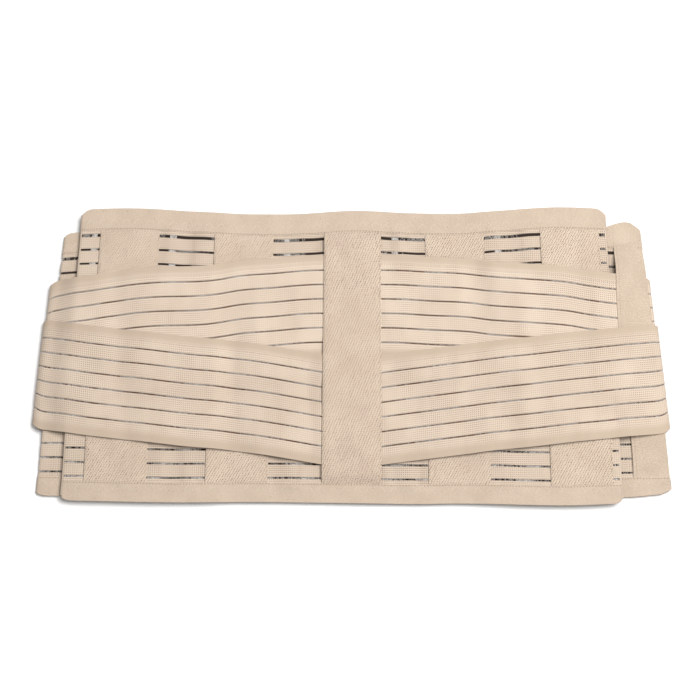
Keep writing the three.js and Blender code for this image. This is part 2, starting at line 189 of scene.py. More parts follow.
def place(x, y, z):
    """Where a point of the straight belt comes to lie: it flares, leans and slants."""
    x, y, z = np.broadcast_arrays(*(np.asarray(v, float) for v in (x, y, z)))
    pleat_edge = by_side(x, left.pleat_edge, right.pleat_edge)
    outer_fold = by_side(x, left.outer_fold, right.outer_fold)
    slant = by_side(x, -left.slant, right.slant)
    slanted = x - slant * y * ease(np.abs(x), pleat_edge, outer_fold)
    return np.stack([slanted * (1 - 0.051 * y / back_height) + 0.0045 * y, y, z], axis=-1)


def lift(y):
    return lift_height * (1 - ease(np.abs(y), lift_shoulder, lift_foot))


def layer_height(layer):
    return hem_thickness / 2 + layer * layer_pitch


def along_edge(x):
    return np.asarray(x) / by_side(x, left.pleat_edge, right.pleat_edge)


def back_height_at(x):
    over_pleat = ease(np.abs(x), rise_end - pleat_rise, rise_end)
    wave = 1.6 * (0.5 + upper_wave(along_edge(x)))
    return mix(layer_height(2), layer_height(3), over_pleat) + wave


def back_top(x):
    return half_height + 6 * upper_wave(along_edge(x))


def back_bottom(x):
    return -half_height + 4 * lower_wave(along_edge(x))


def steps(start, end, pitch):
    count = max(1, round(abs(end - start) / pitch))
    return list(np.linspace(start, end, count + 1))


def side_stations(side):
    """Stations of the cloth from the spine out to one side and in again underneath."""
    travel_pleat = side.pleat_edge - pleat_reach
    travel_outer = travel_pleat + side.outer_fold - pleat_reach
    last = side.pleat_edge - bend
    stations = []

    def add(distance, z, travel, on_back=False):
        near_pleat = max(0, distance - side.pleat_edge + 9) / 9 if on_back else 1
        near_outer = max(0, 1 - abs(travel - travel_outer) / 9)
        tucked = 0 if on_back else 5 * float(ease(travel, 0, 40))
        edge_at = side.sign * (distance if on_back else side.pleat_edge)
        share = travel / travel_outer
        top = float(back_top(edge_at)) - side.top_drop * share - tucked
        bottom = float(back_bottom(edge_at)) + side.rise * share + tucked / 2
        corner = 5 * near_pleat**2 + 3.2 * near_outer**2 - tucked
        stations.append((side.sign * distance, z, top, bottom, corner, travel))

    def fold(apex, outward, z_from, z_to, travel):
        for angle in np.linspace(math.pi / 2, -math.pi / 2, 9)[1:-1]:
            distance = apex - outward * bend * (1 - math.cos(angle))
            add(distance, mix(z_to, z_from, (1 + math.sin(angle)) / 2), travel)

    def run(start, end, layer, travel_start, travel_end):
        for distance in steps(start, end, 5):
            share = (distance - start) / (end - start)
            add(distance, layer_height(layer), mix(travel_start, travel_end, share))

    edges = [0, spine_half, side.covers[0] - cover_half, side.covers[0] + cover_half]
    edges += [side.covers[1] - cover_half, side.covers[1] + cover_half, last]
    for start, end in zip(edges, edges[1:]):
        for distance in steps(start, end, 3)[:-1]:
            add(distance, float(back_height_at(side.sign * distance)), 0, True)
    last_z = float(back_height_at(side.sign * last))
    add(last, last_z, 0, True)
    fold(side.pleat_edge, 1, last_z, layer_height(2), 1)
    run(last, pleat_reach + bend, 2, 2, travel_pleat)
    fold(pleat_reach, -1, layer_height(2), layer_height(1), travel_pleat)
    start, end = pleat_reach + bend, side.outer_fold - bend
    stops = (start, side.pleat_edge, side.strip_end, end)
    for near, far in zip(stops, stops[1:]):
        run(near, far, 1, travel_pleat + near - start, travel_pleat + far - start)
        if far < end:
            stations.pop()
    fold(side.outer_fold, 1, layer_height(1), layer_height(0), travel_outer)
    run(end, front_seam, 0, travel_outer + bend, travel_outer + side.outer_fold - front_seam)
    return stations


loop = np.array(side_stations(left)[:0:-1] + side_stations(right))
loop_x, loop_z, loop_top, loop_bottom, loop_corner, loop_travel = loop.T
on_back = loop_travel == 0

# Beside the back's right edge this layer sags a little, clear of the guide panel's end
in_gap = (loop_x > 221) & (loop_x < 232) & (np.abs(loop_z - layer_height(1)) < 0.1)
loop_z = loop_z - 0.5 * in_gap


def woven_grid(name, lie, pattern, open_cells=None):
    """Sheet through a grid of places in millimetres, with each point's place on the flat cloth."""
    columns, rows = lie.shape[:2]
    bm = bmesh.new()
    weave = bm.loops.layers.uv.new("weave")
    bmesh.ops.create_grid(bm, x_segments=columns - 1, y_segments=rows - 1, size=0.5)
    bm.verts.index_update()
    places = ((lie + centre_shift) * MM).transpose(1, 0, 2).reshape(-1, 3)
    flat = pattern.transpose(1, 0, 2).reshape(-1, 2)
    for vert, co in zip(bm.verts, places):
        vert.co = co
    for face in bm.faces:
        face.smooth = True
        for corner in face.loops:
            corner[weave].uv = flat[corner.vert.index]
    if open_cells is not None:
        cells = open_cells.transpose(1, 0).reshape(-1)
        bm.faces.ensure_lookup_table()
        gone = [bm.faces[i] for i in np.flatnonzero(cells)]
        bmesh.ops.delete(bm, geom=gone, context="FACES")
    mesh = bpy.data.meshes.new(name)
    bm.to_mesh(mesh)
    bm.free()
    cloth = bpy.data.objects.new(name, mesh)
    bpy.context.scene.collection.objects.link(cloth)
    return cloth


def thicken(cloth, thickness):
    solidify = cloth.modifiers.new("thickness", "SOLIDIFY")
    solidify.thickness = thickness * MM
    solidify.offset = 0


def travelled(points):
    """Distance along each row of a grid of places, from its first column."""
    gaps = np.linalg.norm(np.diff(points, axis=0), axis=-1)
    return np.concatenate([np.zeros((1, points.shape[1])), np.cumsum(gaps, axis=0)])


class Finish:
    """A material and the few node steps that its pattern is worked out with."""

    def __init__(self, name, roughness, sheen=0.0):
        self.material = bpy.data.materials.new(name)
        self.material.use_nodes = True
        self.tree = self.material.node_tree
        self.shader = self.tree.nodes["Principled BSDF"]
        self.shader.inputs["Roughness"].default_value = roughness
        self.shader.inputs["Sheen Weight"].default_value = sheen
        self.shader.inputs["Sheen Roughness"].default_value = 0.5
        self.shader.inputs["Specular IOR Level"].default_value = 0.25

    def put(self, socket, value):
        if isinstance(value, bpy.types.NodeSocket):
            self.tree.links.new(value, socket)
        else:
            socket.default_value = value

    def math(self, operation, first, second=0.0, third=0.0):
        node = self.tree.nodes.new("ShaderNodeMath")
        node.operation = operation
        for socket, value in zip(node.inputs, (first, second, third)):
            self.put(socket, value)
        return node.outputs[0]

    def weave(self):
        uv = self.tree.nodes.new("ShaderNodeUVMap")
        uv.uv_map = "weave"
        split = self.tree.nodes.new("ShaderNodeSeparateXYZ")
        self.tree.links.new(uv.outputs[0], split.inputs[0])
        return uv.outputs[0], split.outputs[0], split.outputs[1]

    def ripple(self, place, pitch, phase=0.0):
        """0 to 1 and back over each pitch."""
        turns = self.math("MULTIPLY_ADD", place, 2 * math.pi / pitch, phase)
        return self.math("MULTIPLY_ADD", self.math("SINE", turns), 0.5, 0.5)

    def noise(self, vector, scale, detail=2.0, stretch=(1, 1, 1)):
        mapping = self.tree.nodes.new("ShaderNodeMapping")
        mapping.inputs["Scale"].default_value = stretch
        self.tree.links.new(vector, mapping.inputs["Vector"])
        node = self.tree.nodes.new("ShaderNodeTexNoise")
        node.inputs["Scale"].default_value = scale
        node.inputs["Detail"].default_value = detail
        self.tree.links.new(mapping.outputs[0], node.inputs["Vector"])
        return node.outputs["Fac"]

    def specks(self, vector, spacing, radius):
        """Small round marks, one in about three of the cells that lie this far apart."""
        cells = self.tree.nodes.new("ShaderNodeTexVoronoi")
        cells.inputs["Scale"].default_value = 1 / spacing
        self.tree.links.new(vector, cells.inputs["Vector"])
        chosen = self.step(cells.outputs["Color"], 0.6, 0.66)
        round_mark = self.step(cells.outputs["Distance"], radius * 1.3, radius * 0.7)
        return self.math("MULTIPLY", chosen, round_mark)

    def step(self, value, start, end, low=0.0, high=1.0):
        node = self.tree.nodes.new("ShaderNodeMapRange")
        node.interpolation_type = "SMOOTHSTEP"
        for socket, number in zip(node.inputs, (value, start, end, low, high)):
            self.put(socket, number)
        return node.outputs[0]

    def blend(self, share, first, second):
        node = self.tree.nodes.new("ShaderNodeMix")
        node.data_type = "RGBA"
        self.put(node.inputs["Factor"], share)
        self.put(node.inputs[6], first)
        self.put(node.inputs[7], second)
        return node.outputs[2]

    def finish(self, colour, height, depth):
        self.put(self.shader.inputs["Base Color"], colour)
        bump = self.tree.nodes.new("ShaderNodeBump")
        bump.inputs["Distance"].default_value = depth * MM
        bump.inputs["Strength"].default_value = 1.0
        self.put(bump.inputs["Height"], height)
        self.tree.links.new(bump.outputs[0], self.shader.inputs["Normal"])
        return self.material


# How much brighter than a white sheet the lamp and walls make a cloth look
lamp_level = 1.79


def shade(red, green, blue):
    """A yarn's own colour, from how it looks under the bright lamp, in steps of 0 to 255."""
    seen = np.array([red, green, blue]) / 255
    linear = np.where(seen <= 0.04045, seen / 12.92, ((seen + 0.055) / 1.055) ** 2.4)
    return (*(linear / lamp_level).tolist(), 1)


def elastic_finish(name, light, dark, pin_depth):
    """Ribbed elastic: rows of pin holes between fine lengthwise ribs."""
    cloth = Finish(name, 0.8, 0.15)
    flat, along, across = cloth.weave()
    holes = cloth.math("MULTIPLY", cloth.ripple(along, 1.75), cloth.ripple(across, 1.81))
    pins = cloth.step(holes, 0.32, 0.85)
    ribs = cloth.ripple(across, 0.9)
    clouds = cloth.noise(flat, 0.035, 3.0)
    strain = cloth.step(cloth.noise(flat, 0.03, 1.0, (1, 0.25, 1)), 0.4, 0.65)
    shown = cloth.math("MULTIPLY", pins, cloth.math("MULTIPLY_ADD", strain, 0.42, 0.42))
    base = cloth.blend(cloth.step(clouds, 0.3, 0.7), light, dark)
    # Stretched noise darkens soft upright bands: painted shade of gentle folds across the elastic.
    crease_shade_bands = cloth.step(cloth.noise(flat, 0.09, 2.0, (1, 0.12, 1)), 0.5, 0.72)
    base = cloth.blend(cloth.math("MULTIPLY", crease_shade_bands, 0.3), base, shade(190, 166, 145))
    fuzz = cloth.step(cloth.noise(flat, 1.1, 2.0), 0.36, 0.64)
    base = cloth.blend(cloth.math("MULTIPLY", fuzz, 0.2), base, shade(184, 162, 140))
    colour = cloth.blend(shown, base, shade(118, 96, 78))
    height = cloth.math("MULTIPLY_ADD", pins, -pin_depth, cloth.math("MULTIPLY", ribs, 0.25))
    height = cloth.math("MULTIPLY_ADD", fuzz, 0.4, height)
    return cloth.finish(colour, height, 0.22)


body_cloth = elastic_finish("body_elastic_cloth", shade(240, 220, 199), shade(232, 211, 190), 0.8)

insets = 4.5 + line_pitch * np.arange(3)
low_insets = 4.5 + bottom_line_pitch * np.arange(3)


def elastic_rows(top, bottom):
    """Rows across the elastic, with both lips of each open line and a support row beside each."""
    low, high = bottom + bottom_hem_width, top - hem_width
    lips = (-1.6, -body_line / 2, body_line / 2, 1.6)
    low_lips = (-1.4, -0.8, 0.8, 1.4)
    low_lines = [low + inset + lip for inset in low_insets for lip in low_lips]
    gapes = (0.9, 1, 1.3)
    high_lines = [high - inset + gape * lip for inset, gape in zip(insets[::-1], gapes) for lip in lips]
    middle = list(np.linspace(low_lines[-1], high_lines[0], 22)[1:-1])
    return [low - hem_lap, low, *low_lines, *middle, *high_lines, high, high + hem_lap]


body_rows = np.array([elastic_rows(top, bottom) for top, bottom in zip(loop_top, loop_bottom)])


def in_open_line(row):
    from_edge = np.minimum(row, body_rows.shape[1] - 2 - row) - 2
    return (from_edge >= 0) & (from_edge < 12) & (from_edge % 4 == 1)


def windows(side):
    first, second = side.covers
    between = (first + cover_half, second - cover_half)
    return [(spine_half, first - cover_half), between, (second + cover_half, side.pleat_edge - bend)]


def open_columns():
    """For each cell along the loop, whether bare elastic shows its open lines there."""
    shown = np.zeros(len(loop_x) - 1, bool)
    for i in range(len(shown)):
        x = (loop_x[i] + loop_x[i + 1]) / 2
        side = left if x < 0 else right
        if on_back[i] and on_back[i + 1]:
            shown[i] = any(start < abs(x) < end for start, end in windows(side))
        elif min(loop_z[i], loop_z[i + 1]) < layer_height(1) + 0.1:
            shown[i] = side.pleat_edge - 5 < abs(x) and (side is left or x < side.strip_end + 2)
    return shown


def window_waves(x, y):
    """The bare elastic between two covers is drawn into soft upright waves."""
    wave = np.zeros(np.broadcast(x, y).shape)
    for side in (left, right):
        for start, end in windows(side)[:2]:
            share = (side.sign * x - start) / (end - start)
            inside = ease(share, 0, 0.12) * ease(share, 1, 0.88)
            wave = wave + 0.75 * inside * np.sin(9.5 * share + 0.035 * y + start)
    return wave * on_back[:, None]


body_open = open_columns()[:, None] & in_open_line(np.arange(body_rows.shape[1] - 1))[None, :]
body_height = loop_z[:, None] + lift(body_rows) + window_waves(loop_x[:, None], body_rows)
body_lie = place(loop_x[:, None], body_rows, body_height)
middle_travel = travelled(body_lie)[:, body_rows.shape[1] // 2]
body_flat = np.stack([np.broadcast_to(middle_travel[:, None], body_rows.shape), body_rows], axis=-1)
body = woven_grid("elastic_body", body_lie, body_flat, body_open)
body.data.materials.append(body_cloth)
thicken(body, elastic_thickness)
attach(body, "root")
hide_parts("body_elastic")

# Painted shadow and net in the open lines of the body
# A dark sheet just beneath each open line is painted shadow, standing for the shade inside the band; fine
# grey and white filaments cross each open line over it.
# They are knitted with the band and bunch together where it is stretched.


def normals(points):
    along = np.gradient(points, axis=0)
    across = np.gradient(points, axis=1)
    out = np.cross(along, across)
    return out / np.maximum(np.linalg.norm(out, axis=-1, keepdims=True), 1e-9)


# Colour of the dark sheets under the open lines: painted shadow, with a faint grain.
def shadow_finish(name, dark, light):
    cloth = Finish(name, 0.95)
    grain = cloth.noise(cloth.weave()[0], 1.4, 2.0)
    return cloth.finish(cloth.blend(cloth.step(grain, 0.35, 0.7), dark, light), grain, 0.1)


def filament_finish(name, light, dark):
    yarn = Finish(name, 0.35)
    where = yarn.tree.nodes.new("ShaderNodeTexCoord").outputs["Object"]
    grain = yarn.noise(where, 700.0, 1.0)
    return yarn.finish(yarn.blend(yarn.step(grain, 0.3, 0.75), light, dark), grain, 0.05)


body_line_shadow_paint = shadow_finish("body_line_shadow", shade(34, 27, 24), shade(74, 60, 52))
filament = filament_finish("pale_filament", shade(240, 238, 235), shade(166, 154, 144))
chance = np.random.default_rng(11)


def threads(name, strands, radius, material):
    """Fine threads, each through its own few places in millimetres."""
    curve = bpy.data.curves.new(name, "CURVE")
    curve.dimensions = "3D"
    curve.bevel_depth = radius * MM
    curve.bevel_resolution = 0
    for strand in strands:
        spline = curve.splines.new("POLY")
        spline.points.add(len(strand) - 1)
        for point, co in zip(spline.points, (np.asarray(strand) + centre_shift) * MM):
            point.co = (*co, 1)
    curve.materials.append(material)
    yarn = bpy.data.objects.new(name, curve)
    bpy.context.scene.collection.objects.link(yarn)
    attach(yarn, "root")
    return yarn


def ladder(low_lip, high_lip, out, spacing, bunching, skip, drawn=(0, 0)):
    """Strands across one open line between its lips, bunched where the cloth is drawn out.

    Over the first or last stretch given by drawn, at a fold, they lie close.
    """
    along = travelled(low_lip[:, None, :])[:, 0]
    strands = []
    at = 0.4
    while at < along[-1] - 0.4:
        bunch = 0.5 + 0.5 * math.sin(at / bunching[0] + bunching[1])
        from_fold = along[-1] - at if drawn[1] > 0 else at
        if from_fold < drawn[0]:
            bunch *= 0.35
        at += spacing * (0.45 + 1.6 * bunch * chance.random())
        if chance.random() < skip * bunch:
            continue
        slant = chance.uniform(-0.7, 0.7)
        ends = []
        for lip, shift in ((low_lip, -slant), (high_lip, slant)):
            ends.append([np.interp(at + shift, along, lip[:, axis]) for axis in range(3)])
        ends = np.array(ends)
        up = np.array([np.interp(at, along, out[:, axis]) for axis in range(3)])
        middle = ends.mean(axis=0) + up * chance.uniform(-0.25, 0.1)
        strands.append([ends[0], middle, ends[1]])
    return strands


body_out = normals(body_lie)
line_rows = [row for row in range(body_rows.shape[1] - 1) if in_open_line(np.array(row))]
shadow_sheet_rows = [row + end for row in line_rows for end in (0, 1)]
# Painted shadow: a dark sheet 0.45 mm under the lips, kept only where a line is open.
shadow_sheet_lie = body_lie[:, shadow_sheet_rows] - 0.45 * body_out[:, shadow_sheet_rows]
shadow_sheet_gaps = np.ones((len(loop_x) - 1, len(shadow_sheet_rows) - 1), bool)
for n, row in enumerate(line_rows):
    shadow_sheet_gaps[:, 2 * n] = ~body_open[:, row]
body_line_shadow_sheet = woven_grid("body_line_painted_shadow", shadow_sheet_lie, body_flat[:, shadow_sheet_rows], shadow_sheet_gaps)
body_line_shadow_sheet.data.materials.append(body_line_shadow_paint)
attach(body_line_shadow_sheet, "root")


def stretches(shown):
    """Runs of columns in which a line is open, as first and last column."""
    edges = np.flatnonzero(np.diff(np.concatenate([[0], shown.astype(int), [0]])))
    return list(zip(edges[::2], edges[1::2]))


strands = []
for row in line_rows:
    for first, last in stretches(body_open[:, row]):
        part = slice(first, last + 1)
        lips = body_lie[part, row], body_lie[part, row + 1]
        if row < body_rows.shape[1] / 2:
            strands += ladder(*lips, body_out[part, row], 0.8, (6.0, chance.uniform(0, 6)), 0.5)
        else:
            strands += ladder(*lips, body_out[part, row], 1.9, (11.0, chance.uniform(0, 6)), 1.3)
            close = [lip[3:6] for lip in lips]
            strands += ladder(*close, body_out[part, row][3:6], 0.45, (6.0, 4.0), 0.3)
body_filaments = threads("body_line_filaments", strands, 0.19, filament)

# Hems
# Both long edges are bound with tape of the same colour, 19 mm wide above and 16.4 mm below.
# A zigzag of light thread and a line of lockstitch along the tape's inner edge hold it.
hem_rows = np.array([0, 0.35, 1, 2.2, 4.5, 7, 9.5, 12, 14.5, 16.6, 17.8, 18.6, 19])
zigzag_pitch = 10.3
zigzag_low, zigzag_high = 10.2, 15.8
thread_rest = 0.25


def tape_finish(name, light, dark):
    """Close tape with a fine crosswise grain and scattered needle holes."""
    cloth = Finish(name, 0.82, 0.12)
    flat, along, across = cloth.weave()
    clouds = cloth.noise(flat, 0.05, 3.0)
    grain = cloth.step(cloth.noise(flat, 0.9, 2.0, (1, 2.0, 1)), 0.38, 0.64)
    specks = cloth.specks(flat, 3.0, 0.13)
    seam = cloth.math("MULTIPLY", cloth.step(across, 17.5, 17.8), cloth.step(across, 18.5, 18.2))
    holes = cloth.math("MULTIPLY", seam, cloth.step(cloth.ripple(along, 2.6), 0.45, 0.8))
    base = cloth.blend(cloth.step(clouds, 0.3, 0.7), light, dark)
    base = cloth.blend(cloth.math("MULTIPLY", grain, 0.34), base, shade(180, 157, 136))
    marks = cloth.math("MAXIMUM", cloth.math("MULTIPLY", specks, 0.5), cloth.math("MULTIPLY", holes, 0.55))
    colour = cloth.blend(marks, base, shade(112, 88, 70))
    height = cloth.math("MULTIPLY_ADD", holes, -1.5, grain)
    return cloth.finish(colour, height, 0.16)


hem_cloth = tape_finish("hem_tape", shade(237, 216, 194), shade(229, 208, 186))
zigzag_thread = filament_finish("light_thread", shade(247, 235, 219), shade(238, 225, 207))


# The hems' outer edges on the guide panel's layer, which its rounded ends follow
guide_head_points = [(222, 113.5), (234, 116.7), (243, 118.4), (250, 118.3), (255, 116), (260, 106)]
guide_foot_points = [(222, -121.8), (235, -121.2), (246, -119.8), (255, -117.6), (260, -112)]
guide_head = curve_through(guide_head_points)
guide_foot = curve_through(guide_foot_points)


def hem_lie(from_top):
    """A hem's grid: rows run from its outer edge to its inner one, which laps over the covers."""
    edge, inward, profile = (loop_top, -1, guide_head) if from_top else (loop_bottom, 1, guide_foot)
    down = hem_rows * (1 if from_top else bottom_hem_width / hem_width)
    rounded = loop_corner if from_top else loop_corner * np.where(on_back, 0.5, 0.9)
    on_guide = (loop_x > right.pleat_edge - 6) & ~on_back & (loop_z < layer_height(1.5))
    outer_edge = np.where(on_guide, profile(loop_x), edge + inward * rounded)
    outer_share = (1 - ease(hem_rows, 4, 18))[None, :]
    rows = mix(edge[:, None], outer_edge[:, None], outer_share) + inward * down
    height = loop_z[:, None] + lift(rows) + window_waves(loop_x[:, None], rows) * ease(hem_rows, 12, 18)
    lap = 0.2 * ease(hem_rows, 12, 18) * on_back[:, None]
    over_guide = 0.55 * (on_guide & (loop_z > layer_height(0.6)))[:, None] * ease(loop_x, 223, 227)[:, None]
    waver = 0.3 * np.sin(loop_x / 7.3)[:, None] * np.sin(np.pi * hem_rows / hem_width)
    x = loop_x + 2.6 * on_guide * ease(loop_x, 247, 257)
    return place(x[:, None], rows, height + lap + over_guide + waver * on_back[:, None])


for name, node, from_top in (("top_hem_tape", "top_hem", True), ("bottom_hem_tape", "bottom_hem", False)):
    lie = hem_lie(from_top)
    if from_top:
        lie, order = lie[:, ::-1], hem_rows[::-1]
    else:
        order = hem_rows
    reach = travelled(lie)[:, 6]
    pattern = np.stack(np.broadcast_arrays(reach[:, None], order[None, :]), axis=-1)
    hem = woven_grid(name, lie, pattern)
    hem.data.materials.append(hem_cloth)
    thicken(hem, hem_thickness)
    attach(hem, "root")
    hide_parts(node)
    out = normals(lie)
    inner = lie + out * (hem_thickness / 2 + 0.02)
    turns = np.arange(2, reach[-1] - 2, zigzag_pitch / 2)
    strand = []
    for n, at in enumerate(turns):
        for share in (0.0, 0.5):
            here = at + share * zigzag_pitch / 2
            v = mix(zigzag_low, zigzag_high, share if n % 2 == 0 else 1 - share)
            row = int(np.argmin(np.abs(order - v)))
            stitch = [np.interp(here, reach, inner[:, row, axis]) for axis in range(3)]
            strand.append([stitch[0], stitch[1], max(stitch[2], thread_rest)])
    zigzag = threads(name + "_zigzag", [strand], 0.2, zigzag_thread)

# Stay covers
# Four tapes of close twill, 52 mm wide, run from hem to hem over the boning on the back.
# Each is sewn down along both long edges and caught under the hems.
cover_thickness = 1.0
seam_gap = 0.3
cover_tuck = 2.5


def twill_finish(name, light, dark, slope):
    """Twill: short dark dashes in diagonal rows."""
    cloth = Finish(name, 0.8, 0.1)
    flat, along, across = cloth.weave()
    diagonal = cloth.math("MULTIPLY_ADD", across, -slope, along)
    wander = cloth.noise(flat, 0.45, 2.0)
    diagonal = cloth.math("MULTIPLY_ADD", wander, 2.8, diagonal)
    diagonal = cloth.math("MULTIPLY_ADD", cloth.noise(flat, 1.3, 1.0), 0.8, diagonal)
    wales = cloth.ripple(diagonal, 2.3)
    picks = cloth.ripple(cloth.math("MULTIPLY_ADD", along, 1.1, across), 2.35)
    grooves = cloth.step(wales, 0.45, 0.0)
    dashes = cloth.math("MULTIPLY", grooves, cloth.step(picks, 0.2, 0.7))
    speckle = cloth.step(cloth.noise(flat, 0.7, 2.0), 0.4, 0.6)
    clouds = cloth.noise(flat, 0.04, 3.0)
    base = cloth.blend(cloth.step(clouds, 0.3, 0.7), light, dark)
    marks = cloth.math("MULTIPLY", dashes, cloth.math("MULTIPLY_ADD", speckle, 0.8, 0.38))
    colour = cloth.blend(marks, base, shade(134, 108, 92))
    height = cloth.math("MULTIPLY_ADD", speckle, 0.25, cloth.math("MULTIPLY", dashes, -1.0))
    return cloth.finish(colour, height, 0.3)


cover_cloth = twill_finish("cover_twill", shade(236, 215, 193), shade(228, 206, 184), 0.55)
seam_thread = filament_finish("seam_thread", shade(186, 162, 140), shade(150, 124, 104))


def twill_rows(x):
    low = back_bottom(x) + bottom_hem_width
    high = back_top(x) - hem_width
    return np.linspace(0, 1, 56), low - cover_tuck, high + cover_tuck


def twill_panel(name, distances, raised, finish, hollow_at=0, depth=0.0):
    """A panel on the back from hem to hem, its ends caught under the hems."""
    x = np.asarray(distances, float)
    shares, low, high = twill_rows(x)
    y = mix(low[:, None], high[:, None], shares)
    from_hem = np.minimum(y - low[:, None], high[:, None] - y)
    height = back_height_at(x)[:, None] + lift(y)
    edge = np.minimum(np.abs(x - x[0]), np.abs(x - x[-1]))[:, None]
    mid = (x[0] + x[-1]) / 2
    pressed = 0.25 * (1 - ease(edge, 0, 2.2))
    hollow = depth * (np.exp(-(((x[:, None] - mid - hollow_at) / 5.5) ** 2)) - 0.6)
    sunk = hollow * ease(edge, 0, 6) * ease(from_hem, 0, 14)
    rise = mix(0.3, raised(y) - pressed, ease(from_hem, 1.0, 8.0)) - sunk
    lie = place(x[:, None], y, height + rise)
    panel = woven_grid(name, lie, np.stack(np.broadcast_arrays(x[:, None], y), axis=-1))
    panel.data.materials.append(finish)
    thicken(panel, cover_thickness)
    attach(panel, "root")
    return panel, lie


def seam(name, paths, pitch=2.4, length=1.3, radius=0.22):
    """Rows of lockstitch: each stitch a small bead of thread that dips in at both ends."""
    bm = bmesh.new()
    for path, out in paths:
        along = travelled(path[:, None, :])[:, 0]
        for at in np.arange(1.0, along[-1] - 1.0, pitch):
            co = np.array([np.interp(at, along, path[:, axis]) for axis in range(3)])
            ahead = np.array([np.interp(at + 0.6, along, path[:, axis]) for axis in range(3)])
            up = Vector([np.interp(at, along, out[:, axis]) for axis in range(3)])
            forward = Vector(ahead - co).normalized()
            sideways = up.cross(forward).normalized()
            turn = np.eye(4)
            turn[:3, 0] = np.array(forward) * length / 2 * MM
            turn[:3, 1] = np.array(sideways) * radius * MM
            turn[:3, 2] = np.array(forward.cross(sideways)) * radius * MM
            turn[:3, 3] = (co + centre_shift) * MM
            bmesh.ops.create_icosphere(bm, subdivisions=1, radius=1, matrix=Matrix(turn.tolist()))
    for face in bm.faces:
        face.smooth = True
    mesh = bpy.data.meshes.new(name)
    bm.to_mesh(mesh)
    bm.free()
    mesh.materials.append(seam_thread)
    stitches = bpy.data.objects.new(name, mesh)
    bpy.context.scene.collection.objects.link(stitches)
    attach(stitches, "root")
    return stitches


def edge_seams(lie, inset):
    """Paths of the two seams along a panel's first and last columns."""
    out = normals(lie)
    top = lie + out * (cover_thickness / 2 + 0.03)
    return [(top[inset, 3:-3], out[inset, 3:-3]), (top[-1 - inset, 3:-3], out[-1 - inset, 3:-3])]


cover_raise = elastic_thickness / 2 + seam_gap + cover_thickness / 2
cover_columns = np.array([0, 0.5, 1.3, 2.4, *np.linspace(5, 47, 15), 49.6, 50.7, 51.5, 52]) - cover_half
seams = []
for side in (left, right):
    for which, centre in zip(("inner", "outer"), side.covers):
        x = side.sign * centre + cover_columns
        name = f"stay_cover_{side.name}_{which}"
        hollow_at = 6 * side.sign
        cover, lie = twill_panel(name + "_twill", x, lambda y: cover_raise, cover_cloth, hollow_at, 0.35)
        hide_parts(name)
        seams += edge_seams(lie, 2)

# Spine panel
# The fifth twill panel lies over the spine and hides the ends of the straps.
# It is sewn down along both edges through the straps.
spine_cloth = twill_finish("spine_twill", shade(235, 214, 192), shade(226, 204, 183), 0.4)
upper_strap_top, upper_strap_width = 87.7, 91
straps_meet = upper_strap_top - upper_strap_width
crossing = [straps_meet + share * line_pitch for share in (-3.6, -2.4, 0.8, 1.8)]


def spine_raise(y):
    over_straps = 1 - ease(np.abs(y), lift_foot - 3, lift_foot + 1)
    over_crossing = ease(y, crossing[0], crossing[1]) * (1 - ease(y, crossing[2], crossing[3]))
    proud = strap_pitch + seam_gap + cover_thickness
    return cover_raise + over_straps * proud + over_crossing * strap_pitch


spine_edge = [22.6, 23.7, 24.5, spine_half]
spine_columns = [*(-x for x in spine_edge[::-1]), *np.linspace(-20, 20, 15), *spine_edge]
spine, lie = twill_panel("spine_panel_twill", spine_columns, spine_raise, spine_cloth, -11, 0.8)
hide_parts("spine_panel")
seams += edge_seams(lie, 2)
seam("panel_seams", seams)

# Straps
# Four straps of the same ribbed elastic, the upper pair 91 mm wide and the lower pair 94 mm.
# They start under the spine panel, cross the back, turn round the sides and run in beneath.
# Each has six narrow open lines and a smooth selvedge along both edges.
lower_strap_top, lower_strap_width = -4.6, 94
strap_line = 1.2
strap_lines = 6
fold_depth = 8
strap_tail = 70


class Strap:
    """One strap, in millimetres: its upper edge starts at start and moves by drop on the way."""

    def __init__(self, side, kind, drop, fold, course):
        upper = kind == "upper"
        self.side = side
        self.kind = kind
        self.node = f"{kind}_strap_{side.name}"
        self.start = upper_strap_top if upper else lower_strap_top
        self.width = upper_strap_width if upper else lower_strap_width
        self.margin = 13.9 if upper else 15.4
        self.under = strap_thickness / 2 + (strap_pitch if upper else 0)
        self.drop = drop
        self.fold = fold
        self.course = curve_through(course)

    def top(self, distance):
        return self.start + self.drop * self.course(np.asarray(distance) / self.fold)


left_upper_course = [(0, 0), (0.14, 0), (0.26, 0.13), (0.38, 0.25), (0.47, 0.44)]
left_upper_course += [(0.65, 0.53), (0.77, 0.67), (0.85, 0.82), (1, 1)]
right_upper_course = [(0, 0), (0.14, 0), (0.26, 0.11), (0.39, 0.21), (0.47, 0.37)]
right_upper_course += [(0.58, 0.49), (0.71, 0.63), (0.78, 0.8), (0.85, 0.93), (1, 1)]
left_lower_course = [(0, 0), (0.13, 0.165), (0.26, 0.326), (0.39, 0.455), (0.52, 0.53)]
left_lower_course += [(0.65, 0.642), (0.84, 0.805), (1, 1)]
right_lower_course = [(0, 0), (0.13, 0.165), (0.26, 0.3), (0.39, 0.435), (0.45, 0.5)]
right_lower_course += [(0.58, 0.603), (0.71, 0.73), (0.84, 0.845), (1, 1)]
upper_left = Strap(left, "upper", -22.8, 266.2, left_upper_course)
upper_right = Strap(right, "upper", -18, 263.6, right_upper_course)
lower_left = Strap(left, "lower", 36, 268.2, left_lower_course)
lower_right = Strap(right, "lower", 31.6, 265.6, right_lower_course)
over_covers = elastic_thickness / 2 + seam_gap + cover_thickness + strap_gap + strap_thickness / 2
over_elastic = elastic_thickness / 2 + strap_gap + strap_thickness / 2

